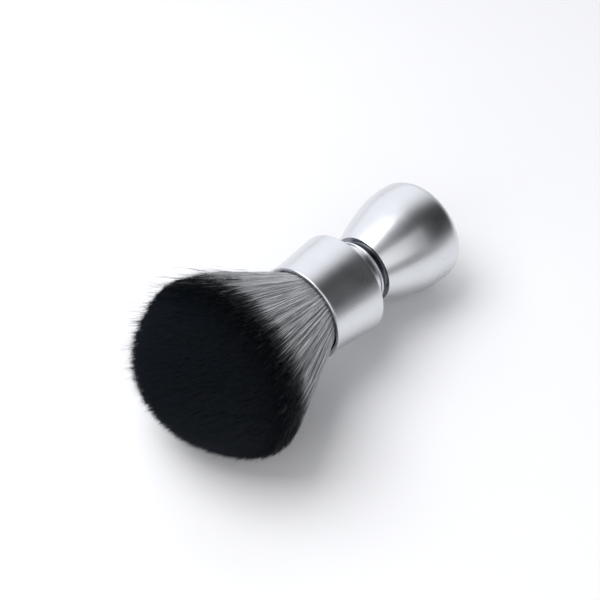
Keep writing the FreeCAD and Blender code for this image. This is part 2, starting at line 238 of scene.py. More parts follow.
FIBRE_INPUTS = (
    # name, socket type
    ("Count", "NodeSocketInt"),
    ("Seed", "NodeSocketInt"),
    ("Inner Angle", "NodeSocketFloat"),      # from the brush's axis
    ("Outer Angle", "NodeSocketFloat"),
    ("First Side", "NodeSocketFloat"),       # round the axis, from +Y towards +Z
    ("Last Side", "NodeSocketFloat"),
    ("Start", "NodeSocketFloat"),            # from the meeting point
    ("Foot Spread", "NodeSocketFloat"),      # 1 where the foot is on the tip's own line
    ("Reach", "NodeSocketFloat"),            # the longest that a fibre is made
    ("Crest Drop", "NodeSocketFloat"),
    ("Tip Scatter", "NodeSocketFloat"),
    ("Side Scatter", "NodeSocketFloat"),
    ("Thickness", "NodeSocketFloat"),
    ("Taper", "NodeSocketFloat"),
    ("Segments", "NodeSocketInt"),
    ("Tuft Size", "NodeSocketFloat"),
    ("Tuft Length", "NodeSocketFloat"),      # how far a tuft's point stands out
    ("Gather", "NodeSocketFloat"),           # how far the tips are drawn to their tuft's middle
    ("Lock Size", "NodeSocketFloat"),
    ("Lock Lean", "NodeSocketFloat"),
    ("Waves", "NodeSocketFloat"),            # how often a lock changes its lean along its length
    ("Bend", "NodeSocketFloat"),
    ("Streak", "NodeSocketFloat"),           # width of a lighter or darker streak
    ("Material", "NodeSocketMaterial"),
)


def fibre_tree():
    """Fibres that spread from one point to a domed surface of tips."""
    tree = bpy.data.node_groups.new("spreading_fibres", "GeometryNodeTree")
    for name, kind in FIBRE_INPUTS:
        tree.interface.new_socket(name, in_out="INPUT", socket_type=kind)
    tree.interface.new_socket("Geometry", in_out="OUTPUT", socket_type="NodeSocketGeometry")
    given = add(tree, "NodeGroupInput").outputs
    seeds = []
    for draw in range(6):
        seed = add(tree, "ShaderNodeMath", {"operation": "ADD"}, {
            0: given["Seed"], 1: SEED_STEP * draw})
        seeds.append(seed.outputs[0])

    # where each fibre points: an even spread over the solid angle, between the two angles
    points = add(tree, "GeometryNodePoints", {}, {"Count": given["Count"]})
    around = add(tree, "FunctionNodeRandomValue", {"data_type": "FLOAT"}, {
        2: given["First Side"], 3: given["Last Side"], "Seed": seeds[0]})
    inner = add(tree, "ShaderNodeMath", {"operation": "COSINE"}, {0: given["Inner Angle"]})
    outer = add(tree, "ShaderNodeMath", {"operation": "COSINE"}, {0: given["Outer Angle"]})
    cosine = add(tree, "FunctionNodeRandomValue", {"data_type": "FLOAT"}, {
        2: outer.outputs[0], 3: inner.outputs[0], "Seed": seeds[1]})
    angle = add(tree, "ShaderNodeMath", {"operation": "ARCCOSINE"}, {0: cosine.outputs[1]})
    sine = add(tree, "ShaderNodeMath", {"operation": "SINE"}, {0: angle.outputs[0]})
    along_y = add(tree, "ShaderNodeMath", {"operation": "COSINE"}, {0: around.outputs[1]})
    along_z = add(tree, "ShaderNodeMath", {"operation": "SINE"}, {0: around.outputs[1]})
    across = add(tree, "ShaderNodeCombineXYZ", {}, {
        "Y": along_y.outputs[0], "Z": along_z.outputs[0]})
    sideways = add(tree, "ShaderNodeVectorMath", {"operation": "SCALE"}, {
        0: across.outputs[0], "Scale": sine.outputs[0]})
    backward = add(tree, "ShaderNodeMath", {"operation": "MULTIPLY"}, {
        0: cosine.outputs[1], 1: -1.0})
    forward = add(tree, "ShaderNodeCombineXYZ", {}, {"X": backward.outputs[0]})
    heading = add(tree, "ShaderNodeVectorMath", {"operation": "ADD"}, {
        0: forward.outputs[0], 1: sideways.outputs[0]})

    # how far the tips are from the point: the dome's sphere, less the turn at the crest
    gap = FOCUS - DOME_CENTRE
    near = add(tree, "ShaderNodeMath", {"operation": "MULTIPLY"}, {
        0: cosine.outputs[1], 1: gap})
    chord = add(tree, "ShaderNodeMath", {"operation": "MULTIPLY"}, {0: sine.outputs[0], 1: gap})
    squared = add(tree, "ShaderNodeMath", {"operation": "POWER"}, {0: chord.outputs[0], 1: 2.0})
    rest = add(tree, "ShaderNodeMath", {"operation": "SUBTRACT"}, {
        0: DOME_ROUND ** 2, 1: squared.outputs[0]})
    root = add(tree, "ShaderNodeMath", {"operation": "SQRT"}, {0: rest.outputs[0]})
    sphere = add(tree, "ShaderNodeMath", {"operation": "ADD"}, {
        0: near.outputs[0], 1: root.outputs[0]})
    past = add(tree, "ShaderNodeMapRange", {}, {
        0: angle.outputs[0], 1: TURN_IN, 2: FLARE, 3: 0.0, 4: 1.0})
    turned = add(tree, "ShaderNodeMath", {"operation": "POWER"}, {0: past.outputs[0], 1: 2.0})
    drop = add(tree, "ShaderNodeMath", {"operation": "MULTIPLY"}, {
        0: turned.outputs[0], 1: given["Crest Drop"]})
    surface = add(tree, "ShaderNodeMath", {"operation": "SUBTRACT"}, {
        0: sphere.outputs[0], 1: drop.outputs[0]})

    # most tips lie just under that surface, and a few stand well out of it
    chance = add(tree, "FunctionNodeRandomValue", {"data_type": "FLOAT"}, {
        2: 0.0, 3: 1.0, "Seed": seeds[2]})
    seldom = add(tree, "ShaderNodeMath", {"operation": "POWER"}, {
        0: chance.outputs[1], 1: OUTLIER_POWER})
    uneven = add(tree, "ShaderNodeMath", {"operation": "MULTIPLY_ADD"}, {
        0: seldom.outputs[0], 1: OUTLIER_REACH, 2: -1.0})
    scattered = add(tree, "ShaderNodeMath", {"operation": "MULTIPLY_ADD"}, {
        0: uneven.outputs[0], 1: given["Tip Scatter"], 2: surface.outputs[0]})

    # tips gather in pointed tufts of uneven height
    tuft_grain = add(tree, "ShaderNodeMath", {"operation": "DIVIDE"}, {
        0: FOCUS + DOME_TOP, 1: given["Tuft Size"]})
    tuft_place = add(tree, "ShaderNodeVectorMath", {"operation": "SCALE"}, {
        0: heading.outputs[0], "Scale": tuft_grain.outputs[0]})
    tufts = add(tree, "ShaderNodeTexVoronoi", {}, {"Vector": tuft_place.outputs[0], "Scale": 1.0})
    middle = add(tree, "ShaderNodeVectorMath", {"operation": "NORMALIZE"}, {
        0: tufts.outputs["Position"]})
    aimed = add(tree, "ShaderNodeMix", {"data_type": "VECTOR"}, {
        0: given["Gather"], 4: heading.outputs[0], 5: middle.outputs[0]})
    luck = add(tree, "FunctionNodeSeparateColor", {}, {0: tufts.outputs["Color"]})
    above = add(tree, "ShaderNodeMath", {"operation": "SUBTRACT"}, {
        0: luck.outputs[0], 1: tufts.outputs["Distance"]})
    length = add(tree, "ShaderNodeMath", {"operation": "MULTIPLY_ADD"}, {
        0: above.outputs[0], 1: given["Tuft Length"], 2: scattered.outputs[0]})

    # the fibre's two ends
    short_start = add(tree, "ShaderNodeMath", {"operation": "SUBTRACT"}, {
        0: length.outputs[0], 1: given["Reach"]})
    start = add(tree, "ShaderNodeMath", {"operation": "MAXIMUM"}, {
        0: given["Start"], 1: short_start.outputs[0]})
    jitter = add(tree, "FunctionNodeRandomValue", {"data_type": "FLOAT_VECTOR"}, {
        0: (-1.0, -1.0, -1.0), 1: (1.0, 1.0, 1.0), "Seed": seeds[3]})
    strayed = add(tree, "ShaderNodeVectorMath", {"operation": "SCALE"}, {
        0: jitter.outputs[0], "Scale": given["Side Scatter"]})
    tip_line = add(tree, "ShaderNodeVectorMath", {"operation": "SCALE"}, {
        0: aimed.outputs[1], "Scale": length.outputs[0]})
    tip = add(tree, "ShaderNodeVectorMath", {"operation": "ADD"}, {
        0: tip_line.outputs[0], 1: strayed.outputs[0]})
    drawn_in = add(tree, "ShaderNodeVectorMath", {"operation": "SCALE"}, {
        0: sideways.outputs[0], "Scale": given["Foot Spread"]})
    foot_line = add(tree, "ShaderNodeVectorMath", {"operation": "ADD"}, {
        0: forward.outputs[0], 1: drawn_in.outputs[0]})
    foot = add(tree, "ShaderNodeVectorMath", {"operation": "SCALE"}, {
        0: foot_line.outputs[0], "Scale": start.outputs[0]})
    span = add(tree, "ShaderNodeVectorMath", {"operation": "SUBTRACT"}, {
        0: tip.outputs[0], 1: foot.outputs[0]})
    span_length = add(tree, "ShaderNodeVectorMath", {"operation": "LENGTH"}, {
        0: span.outputs[0]})

    # one fibre, three-sided and tapered, as high as 1, which remembers how far along it is
    fibre = add(tree, "GeometryNodeMeshCone", {"fill_type": "NGON"}, {
        "Vertices": 3, "Side Segments": given["Segments"], "Radius Top": given["Taper"],
        "Radius Bottom": 1.0, "Depth": 1.0})
    place = add(tree, "GeometryNodeInputPosition").outputs[0]
    height = add(tree, "ShaderNodeSeparateXYZ", {}, {0: place})
    marked = add(tree, "GeometryNodeStoreNamedAttribute", {
        "data_type": "FLOAT", "domain": "POINT"}, {
        "Geometry": fibre.outputs["Mesh"], "Name": "along", "Value": height.outputs["Z"]})
    gauge = add(tree, "FunctionNodeRandomValue", {"data_type": "FLOAT"}, {
        2: GAUGE_LOW, 3: GAUGE_HIGH, "Seed": seeds[4]})
    half = add(tree, "ShaderNodeMath", {"operation": "MULTIPLY"}, {
        0: given["Thickness"], 1: gauge.outputs[1]})
    size = add(tree, "ShaderNodeCombineXYZ", {}, {
        "X": half.outputs[0], "Y": half.outputs[0], "Z": span_length.outputs["Value"]})
    turn = add(tree, "FunctionNodeAlignRotationToVector", {"axis": "Z"}, {
        "Vector": span.outputs[0]})
    placed = add(tree, "GeometryNodeSetPosition", {}, {
        "Geometry": points.outputs[0], "Position": foot.outputs[0]})
    copies = add(tree, "GeometryNodeInstanceOnPoints", {}, {
        "Points": placed.outputs[0], "Instance": marked.outputs["Geometry"],
        "Rotation": turn.outputs[0], "Scale": size.outputs[0]})
    own = add(tree, "FunctionNodeRandomValue", {"data_type": "FLOAT"}, {
        2: -0.5, 3: 0.5, "Seed": seeds[5]})
    drawn = add(tree, "GeometryNodeStoreNamedAttribute", {
        "data_type": "FLOAT", "domain": "INSTANCE"}, {
        "Geometry": copies.outputs[0], "Name": "tone", "Value": own.outputs[1]})
    real = add(tree, "GeometryNodeRealizeInstances", {}, {"Geometry": drawn.outputs[0]})

    # locks of fibres share a tone, which drifts along their length
    along = add(tree, "GeometryNodeInputNamedAttribute", {"data_type": "FLOAT"}, {
        "Name": "along"}).outputs[0]
    own_tone = add(tree, "GeometryNodeInputNamedAttribute", {"data_type": "FLOAT"}, {
        "Name": "tone"}).outputs[0]
    far = add(tree, "ShaderNodeVectorMath", {"operation": "LENGTH"}, {0: place})
    line = add(tree, "ShaderNodeVectorMath", {"operation": "NORMALIZE"}, {0: place})
    fine = add(tree, "ShaderNodeMath", {"operation": "DIVIDE"}, {
        0: FOCUS + DOME_TOP, 1: given["Streak"]})
    drift = add(tree, "ShaderNodeMath", {"operation": "MULTIPLY_ADD"}, {
        0: along, 1: given["Waves"], 2: fine.outputs[0]})
    streak_place = add(tree, "ShaderNodeVectorMath", {"operation": "SCALE"}, {
        0: line.outputs[0], "Scale": drift.outputs[0]})
    streaks = add(tree, "ShaderNodeTexNoise", {}, {
        "Vector": streak_place.outputs[0], "Scale": 1.0, "Detail": 3.0, "Roughness": 0.6})
    contrast = add(tree, "ShaderNodeMapRange", {"clamp": False}, {
        0: streaks.outputs["Fac"], 1: TONE_LOW, 2: TONE_HIGH, 3: 0.0, 4: 1.0})
    mixed = add(tree, "ShaderNodeMath", {"operation": "MULTIPLY_ADD", "use_clamp": True}, {
        0: own_tone, 1: 1.0, 2: contrast.outputs[0]})
    toned = add(tree, "GeometryNodeStoreNamedAttribute", {
        "data_type": "FLOAT", "domain": "POINT"}, {
        "Geometry": real.outputs[0], "Name": "tone", "Value": mixed.outputs[0]})

    # neighbours lean together in locks, and each fibre bows a little
    grain = add(tree, "ShaderNodeMath", {"operation": "DIVIDE"}, {
        0: FOCUS + DOME_TOP, 1: given["Lock Size"]})
    sway = add(tree, "ShaderNodeMath", {"operation": "MULTIPLY_ADD"}, {
        0: along, 1: given["Waves"], 2: grain.outputs[0]})
    lock_place = add(tree, "ShaderNodeVectorMath", {"operation": "SCALE"}, {
        0: line.outputs[0], "Scale": sway.outputs[0]})
    locks = add(tree, "ShaderNodeTexNoise", {}, {
        "Vector": lock_place.outputs[0], "Scale": 1.0, "Detail": 2.0})
    lean = add(tree, "ShaderNodeVectorMath", {"operation": "SUBTRACT"}, {
        0: locks.outputs["Color"], 1: (0.5, 0.5, 0.5)})
    growth = add(tree, "ShaderNodeMapRange", {}, {
        0: far.outputs["Value"], 1: FOCUS, 2: FOCUS - CREST_PLACE, 3: 0.0, 4: 1.0})
    pull = add(tree, "ShaderNodeMath", {"operation": "MULTIPLY"}, {
        0: growth.outputs[0], 1: given["Lock Lean"]})
    leaning = add(tree, "ShaderNodeVectorMath", {"operation": "SCALE"}, {
        0: lean.outputs[0], "Scale": pull.outputs[0]})
    before_end = add(tree, "ShaderNodeMath", {"operation": "SUBTRACT"}, {0: 1.0, 1: along})
    arch = add(tree, "ShaderNodeMath", {"operation": "MULTIPLY"}, {
        0: along, 1: before_end.outputs[0]})
    bow = add(tree, "ShaderNodeMath", {"operation": "MULTIPLY"}, {
        0: arch.outputs[0], 1: own_tone})
    bowed = add(tree, "ShaderNodeMath", {"operation": "MULTIPLY"}, {
        0: bow.outputs[0], 1: given["Bend"]})
    outward = add(tree, "ShaderNodeVectorMath", {"operation": "MULTIPLY"}, {
        0: line.outputs[0], 1: (0.0, 1.0, 1.0)})
    out_unit = add(tree, "ShaderNodeVectorMath", {"operation": "NORMALIZE"}, {
        0: outward.outputs[0]})
    bending = add(tree, "ShaderNodeVectorMath", {"operation": "SCALE"}, {
        0: out_unit.outputs[0], "Scale": bowed.outputs[0]})
    combing = add(tree, "ShaderNodeVectorMath", {"operation": "ADD"}, {
        0: leaning.outputs[0], 1: bending.outputs[0]})

    # the dome's middle sags to one side
    beyond = add(tree, "ShaderNodeMapRange", {}, {
        0: far.outputs["Value"], 1: LEAN_START, 2: FOCUS + DOME_TOP, 3: 0.0, 4: 1.0})
    eased = add(tree, "ShaderNodeMath", {"operation": "POWER"}, {
        0: beyond.outputs[0], 1: LEAN_POWER})
    sagging = add(tree, "ShaderNodeVectorMath", {"operation": "SCALE"}, {
        0: tuple(LEAN), "Scale": eased.outputs[0]})
    shift = add(tree, "ShaderNodeVectorMath", {"operation": "ADD"}, {
        0: combing.outputs[0], 1: sagging.outputs[0]})
    combed = add(tree, "GeometryNodeSetPosition", {}, {
        "Geometry": toned.outputs[0], "Offset": shift.outputs[0]})

    # from the fibres' meeting point to the lying brush
    meeting = MOUTH + AXIS * FOCUS
    laid = add(tree, "GeometryNodeTransform", {}, {
        "Geometry": combed.outputs[0], "Translation": tuple(meeting),
        "Rotation": (0.0, TILT, 0.0)})
    finished = add(tree, "GeometryNodeSetMaterial", {}, {
        "Geometry": laid.outputs[0], "Material": given["Material"]})
    add(tree, "NodeGroupOutput", {}, {0: finished.outputs[0]})
    return tree


def grow(name, tree, values):
    """Runs the fibre tree with these values and keeps the result as a plain mesh."""
    carrier = bpy.data.objects.new("carrier", bpy.data.meshes.new("carrier"))
    bpy.context.scene.collection.objects.link(carrier)
    modifier = carrier.modifiers.new("fibres", "NODES")
    modifier.node_group = tree
    for item in tree.interface.items_tree:
        if item.name in values:
            modifier[item.identifier] = values[item.name]
    seen = bpy.context.evaluated_depsgraph_get()
    mesh = bpy.data.meshes.new_from_object(carrier.evaluated_get(seen))
    mesh.name = name
    bpy.data.objects.remove(carrier)
    piece = bpy.data.objects.new(name, mesh)
    bpy.context.scene.collection.objects.link(piece)
    return piece


SURFACE_GAP = 0.1 * MM                      # how far above the surface the lowest fibres lie
PILE_UP = 0.05                              # height kept from each depth below that


def press_on_surface(piece):
    """Fibres that reach under the surface that the brush lies on are pressed flat on it."""
    for vertex in piece.data.vertices:
        if vertex.co.z < SURFACE_GAP:
            vertex.co.z = SURFACE_GAP + (SURFACE_GAP - vertex.co.z) * PILE_UP


# ---------------------------------------------------------------- turned pieces
ON_AXIS = 1e-9                              # a smaller radius is a single point on the axis
FEWEST = 6                                  # steps in the shortest rounding


def rounding(start, end, radius, step):
    """Points after start on an arc that bulges away from the axis, as far as end."""
    across = (end - start) / 2
    inward = Vector((across.y, -across.x)).normalized()
    centre = start + across + inward * math.sqrt(max(0.0, radius ** 2 - across.length_squared))
    first = math.atan2(start.y - centre.y, start.x - centre.x)
    sweep = 2 * math.asin(min(1.0, across.length / radius))
    count = max(FEWEST, math.ceil(sweep * radius / step))
    points = []
    for index in range(1, count + 1):
        turn = first - sweep * index / count
        points.append(centre + Vector((math.cos(turn), math.sin(turn))) * radius)
    return points


def traced(corners, step):
    """Points along an outline of (place, radius, rounding or 0) corners, a step apart."""
    points = []
    for index, (place, radius, bulge) in enumerate(corners):
        start = Vector((place, radius))
        end = Vector(corners[(index + 1) % len(corners)][:2])
        if index == 0:
            points.append(start)
        if bulge:
            points += rounding(start, end, bulge, step)
            continue
        count = max(1, math.ceil((end - start).length / step))
        for share in range(1, count + 1):
            points.append(start.lerp(end, share / count))
    return points[:-1]


def turned_mesh(name, outline, around, material, sharp):
    """A closed solid turned about the brush's axis from a closed outline."""
    form = bmesh.new()
    rings = []
    for place, radius in outline:
        ring = []
        for index in range(1 if radius < ON_AXIS else around):
            turn = math.tau * index / around
            own = Vector((place, radius * math.cos(turn), radius * math.sin(turn)))
            ring.append(form.verts.new(BRUSH @ own))
        rings.append(ring)
    for low, high in zip(rings, rings[1:] + rings[:1]):
        if len(low) == len(high) == 1:
            continue
        for index in range(around):
            after = (index + 1) % around
            corners = (low[index % len(low)], low[after % len(low)],
                       high[after % len(high)], high[index % len(high)])
            form.faces.new(dict.fromkeys(corners))
    bmesh.ops.recalc_face_normals(form, faces=form.faces)
    for face in form.faces:
        face.smooth = True
    mesh = bpy.data.meshes.new(name)
    form.to_mesh(mesh)
    form.free()
    mesh.set_sharp_from_angle(angle=sharp)
    mesh.materials.append(material)
    piece = bpy.data.objects.new(name, mesh)
    bpy.context.scene.collection.objects.link(piece)
    return piece


def dress_ring(piece, material, low, high):
    """Gives this material to the faces between two places along the brush."""
    piece.data.materials.append(material)
    for face in piece.data.polygons:
        place = (face.center - MOUTH).dot(AXIS)
        if low < place < high:
            face.material_index = len(piece.data.materials) - 1


def ferrule_outline():
    """Drawn cup with a rolled lip at its mouth, a crisp rim and a hole in its back."""
    return (
        (EDGE_BREAK, FERRULE_MOUTH - FERRULE_WALL, 0),
        (0, FERRULE_MOUTH, LIP_ROUND),
        (LIP_ROUND, FERRULE_MOUTH + LIP_ROUND, LIP_ROUND),
        (LIP_ROUND * 2, FERRULE_MOUTH, 0),
        (FERRULE_LENGTH - RIM_ROUND, FERRULE_RIM, RIM_ROUND),
        (FERRULE_LENGTH, FERRULE_RIM - RIM_ROUND, 0),
        (FERRULE_BACK, BACK_FLAT, 0),
        (FERRULE_BACK, SPIGOT + PLAY, 0),
        (FERRULE_BACK - FERRULE_WALL, SPIGOT + PLAY, 0),
        (FERRULE_BACK - FERRULE_WALL, BACK_FLAT, 0),
        (FERRULE_LENGTH - FERRULE_WALL, FERRULE_RIM - FERRULE_WALL * 2, 0),
        (FERRULE_LENGTH - FERRULE_WALL * 2, FERRULE_RIM - FERRULE_WALL, 0),
    )


def handle_outline():
    """Neck with a raised bead, and a bulb of three rounded stretches, bored from its end."""
    end_radius = BELLY_CENTRE + (BELLY_ROUND - CORNER_ROUND) * math.cos(CORNER_TURN)
    return (
        (SPIGOT_END, SCREW_WAY, 0),
        (SPIGOT_END, SPIGOT - EDGE_BREAK, 0),
        (SPIGOT_END + EDGE_BREAK, SPIGOT, 0),
        (FERRULE_BACK, SPIGOT, 0),
        (FERRULE_BACK, COLLAR, 0),
        (BEAD_PLACE - BEAD_ROUND, COLLAR, BEAD_ROUND),
        (BEAD_PLACE, COLLAR + BEAD_ROUND, BEAD_ROUND),
        (BEAD_PLACE + BEAD_ROUND, COLLAR, 0),
        (BEAD_PLACE + BEAD_ROUND + EDGE_BREAK, WAIST, 0),
        (WAIST_END, WAIST, 0),
        (FLANK_START, FLANK_CENTRE + FLANK_ROUND * math.cos(FLANK_TURN), FLANK_ROUND),
        (BELLY_PLACE - BELLY_ROUND * math.sin(BELLY_TURN),
         BELLY_CENTRE + BELLY_ROUND * math.cos(BELLY_TURN), BELLY_ROUND),
        (BELLY_PLACE + BELLY_ROUND * math.sin(CORNER_TURN),
         BELLY_CENTRE + BELLY_ROUND * math.cos(CORNER_TURN), CORNER_ROUND),
        (HANDLE_END, end_radius, 0),
        (HANDLE_END, CAP + PLAY, 0),
        (CAP_SEAT, CAP + PLAY, 0),
        (CAP_SEAT, BORE, 0),
        (BORE_BOTTOM, BORE, 0),
        (BORE_BOTTOM, SCREW_WAY, 0),
    )


def cap_outline():
    """Flush disc with a locating ring on its inner side."""
    return (
        (HANDLE_END, 0, 0),
        (HANDLE_END, CAP - EDGE_BREAK, 0),
        (HANDLE_END - EDGE_BREAK, CAP, 0),
        (CAP_SEAT, CAP, 0),
        (CAP_SEAT, BORE - PLAY, 0),
        (CAP_RING_END, BORE - PLAY, 0),
        (CAP_RING_END, CAP_RING, 0),
        (CAP_SEAT, CAP_RING, 0),
        (CAP_SEAT, 0, 0),
    )


def tip_distance(angle):
    """How far the tips are from the fibres' meeting point, at this angle from the axis."""
    gap = FOCUS - DOME_CENTRE
    sphere = gap * math.cos(angle) + math.sqrt(DOME_ROUND ** 2 - (gap * math.sin(angle)) ** 2)
    past = max(0.0, (angle - TURN_IN) / (FLARE - TURN_IN))
    return sphere - CREST_DROP * past ** 2


CORE_FOOT = 2.0 * MM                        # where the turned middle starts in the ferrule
CORE_DEPTH = 1.6 * MM                       # how far it lies inside the flank
UNDER_TIPS = 1.6                            # and how many times deeper under the tips
CORE_STEPS = 40
CORE_AROUND = 96


def core_outline(depth, steps):
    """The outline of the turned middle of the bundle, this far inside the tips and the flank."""
    widest = FLARE - depth / (FOCUS - CREST_PLACE)
    outline = [(CORE_FOOT, 0.0), (CORE_FOOT, (FOCUS - CORE_FOOT) * math.tan(widest))]
    for index in range(steps):
        angle = widest * (1 - index / steps)
        reach = tip_distance(angle) - depth * UNDER_TIPS
        outline.append((FOCUS - reach * math.cos(angle), reach * math.sin(angle)))
    outline.append((FOCUS - tip_distance(0.0) + depth * UNDER_TIPS, 0.0))
    return outline


def sag(piece):
    """Moves a piece of the bundle to one side, as the fibre tree moves the fibres."""
    meeting = MOUTH + AXIS * FOCUS
    for vertex in piece.data.vertices:
        far = (vertex.co - meeting).length
        beyond = max(0.0, (far - LEAN_START) / (FOCUS + DOME_TOP - LEAN_START))
        vertex.co += LEAN * beyond ** LEAN_POWER


# ---------------------------------------------------------------- build the object

silver = satin_aluminium()
# Painted shade: the ferrule's back and the groove behind the bead get a darker, smoother metal,
# which paints the dark reflection and shade in that recess. A smoother, greyer finish on the
# ferrule's back and in the groove behind the bead: a guess.
dark = inner_piece(
    "recess_painted_shade_aluminium", "#7c7f85", "#888b91", 0.16, 1.0, 0.4 * MM, 0.002 * MM)
AROUND = 192                                # faces round a turned piece
SHARP = math.radians(28)                    # a steeper edge than this is shaded as an edge
OUTLINE_STEP = 0.8 * MM
PAST_BACK = FERRULE_BACK * 1.01
SHELLS = (
    # piece, its CAD node, outline, and a ring with a material of its own (painted shade in the
    # recess)
    ("ferrule_shell", "ferrule", ferrule_outline(), dark, FERRULE_LENGTH, PAST_BACK),
    ("handle_shell", "handle_body", handle_outline(), dark, BEAD_PLACE + BEAD_ROUND, FLANK_START),
    ("base_cap_disc", "base_cap", cap_outline(), silver, 0.0, 0.0),
)
for name, node, corners, ring_material, low, high in SHELLS:
    shell = turned_mesh(name, traced(corners, OUTLINE_STEP), AROUND, silver, SHARP)
    if high > low:
        dress_ring(shell, ring_material, low, high)
    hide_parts(node)
    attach(shell, "root")

steel = inner_piece("zinc_plated_steel", "#a4a8ad", "#c3c6ca", 0.35, 1.0, 0.5 * MM, 0.01 * MM)
brass = inner_piece("turned_brass", "#b8963f", "#d0ae58", 0.3, 1.0, 0.4 * MM, 0.01 * MM)
nylon = inner_piece("moulded_nylon", "#1a1a1c", "#242427", 0.5, 0.0, 0.3 * MM, 0.02 * MM)
epoxy = inner_piece("cast_epoxy", "#8a7a52", "#a08f63", 0.2, 0.0, 3.0 * MM, 0.05 * MM)
for material, nodes in ((steel, ("weight_slug", "clamp_screw", "lock_washer")),
                        (brass, ("threaded_insert",)),
                        (nylon, ("knot_cup", "knot_band")),
                        (epoxy, ("resin_plug",))):
    for node in nodes:
        cad = frame["nodes"][node]
        cad.data.materials.clear()
        cad.data.materials.append(material)

# Flank fibres: their own grey, plus painted sheen from the glossy fibre sides in the near-white lit
# colour.
flank_fibre = drawn_fibre("grey_and_sheen_flank_fibre", "#33353a", "#f2f4f7", "#0e1217", 0.68, 0.84, 0.42, 0.5)
# Upper flank fibres: the same fibres as the flank, made paler to paint the light and sheen they
# catch from behind and above.
upper_fibre = drawn_fibre("upper_flank_painted_sheen_fibre", "#a6a8ac", "#fbfcfd", "#55575b", 0.86, 1.00, 0.42, 0.5)
tip_fibre = drawn_fibre("blue_black_tip_fibre", "#070d14", "#1d2a36", "#0d161f", 0.3, 0.9, 0.6, 0.25)
loose_fibre = drawn_fibre("loose_fibre", "#55575b", "#d8dade", "#222428", 0.4, 0.9, 0.45, 0.4)

# The fibres are fewer and drawn thicker than real ones, so that each one shows at this size.
COMMON = {"First Side": 0.0, "Last Side": math.tau, "Crest Drop": CREST_DROP,
          "Start": FOCUS - 1.5 * MM, "Foot Spread": 1.0}
GROUPS = []
for number in range(4):
    GROUPS.append((f"bristle_flank_{number + 1}", {
        "Count": 2600, "Seed": 11 + number, "Inner Angle": FLARE * (0.88 + 0.03 * number),
        "Outer Angle": FLARE * (0.94 + 0.02 * number), "Reach": WHOLE_LENGTH,
        "Tip Scatter": 0.8 * MM, "Side Scatter": 0.5 * MM, "Thickness": 0.22 * MM,
        "Taper": 0.35, "Segments": 8, "Tuft Size": 1.8 * MM, "Tuft Length": 1.5 * MM,
        "Gather": 0.3, "Lock Size": 1.4 * MM, "Lock Lean": 0.8 * MM, "Waves": 4.0,
        "Bend": 1.4 * MM, "Streak": 0.33 * MM, "Material": flank_fibre}))
for number in range(4):
    GROUPS.append((f"bristle_tips_{number + 1}", {
        "Count": 11000, "Seed": 31 + number, "Inner Angle": 0.0, "Outer Angle": FLARE * 0.985,
        "Reach": 9 * MM, "Tip Scatter": 0.4 * MM, "Side Scatter": 0.3 * MM,
        "Thickness": 0.12 * MM, "Taper": 0.25, "Segments": 2, "Tuft Size": 1.2 * MM,
        "Tuft Length": 1.1 * MM, "Gather": 0.45, "Lock Size": 1.2 * MM, "Lock Lean": 0.5 * MM,
        "Waves": 0.0, "Bend": 0.4 * MM, "Streak": 0.5 * MM, "Material": tip_fibre}))
GROUPS.append(("bristle_fringe", {
    "Count": 7000, "Seed": 51, "Inner Angle": 0.0, "Outer Angle": FLARE, "Reach": 7 * MM,
    "Tip Scatter": 1.0 * MM, "Side Scatter": 0.5 * MM, "Thickness": 0.1 * MM, "Taper": 0.2,
    "Segments": 3, "Tuft Size": 1.5 * MM, "Tuft Length": 1.7 * MM, "Gather": 0.4,
    "Lock Size": 1.5 * MM, "Lock Lean": 1.0 * MM, "Waves": 1.0, "Bend": 1.0 * MM,
    "Streak": 0.5 * MM, "Material": tip_fibre}))
GROUPS.append(("bristle_upper_flank", {
    "Count": 750, "Seed": 71, "Inner Angle": FLARE * 0.96, "Outer Angle": FLARE * 1.075,
    "First Side": math.radians(-20), "Last Side": math.radians(95), "Crest Drop": 6.0 * MM,
    "Foot Spread": 0.93, "Reach": WHOLE_LENGTH, "Tip Scatter": 3.0 * MM, "Side Scatter": 0.3 * MM,
    "Thickness": 0.12 * MM, "Taper": 0.3, "Segments": 10, "Tuft Size": 3.0 * MM,
    "Tuft Length": 3.0 * MM, "Gather": 0.2, "Lock Size": 3.0 * MM, "Lock Lean": 0.7 * MM,
    "Waves": 2.0, "Bend": 0.8 * MM, "Streak": 0.6 * MM, "Material": upper_fibre}))
GROUPS.append(("bristle_wisps", {
    "Count": 260, "Seed": 61, "Inner Angle": FLARE * 0.96, "Outer Angle": FLARE * 1.09,
    "First Side": math.radians(5), "Last Side": math.radians(75), "Crest Drop": 0.0,
    "Foot Spread": 0.9, "Reach": 22 * MM, "Tip Scatter": 4.0 * MM, "Side Scatter": 1.2 * MM,
    "Thickness": 0.09 * MM, "Taper": 0.3, "Segments": 10, "Tuft Size": 4.0 * MM,
    "Tuft Length": 5.0 * MM, "Gather": 0.5, "Lock Size": 4.0 * MM, "Lock Lean": 2.0 * MM,
    "Waves": 3.0, "Bend": 3.0 * MM, "Streak": 0.9 * MM, "Material": loose_fibre}))
GROUPS.append(("bristle_spikes", {
    "Count": 2600, "Seed": 81, "Inner Angle": FLARE * 0.55, "Outer Angle": FLARE * 1.03,
    "First Side": math.radians(-25), "Last Side": math.radians(75), "Reach": 12 * MM,
    "Tip Scatter": 1.4 * MM, "Side Scatter": 0.4 * MM,
    "Thickness": 0.1 * MM, "Taper": 0.15, "Segments": 4, "Tuft Size": 2.6 * MM,
    "Tuft Length": 3.2 * MM, "Gather": 0.6, "Lock Size": 2.5 * MM, "Lock Lean": 1.5 * MM,
    "Waves": 1.0, "Bend": 1.5 * MM, "Streak": 0.5 * MM, "Material": tip_fibre}))

tree = fibre_tree()
bristles = []
for name, values in GROUPS:
    piece = grow(name, tree, {**COMMON, **values})
    press_on_surface(piece)
    bristles.append(piece)

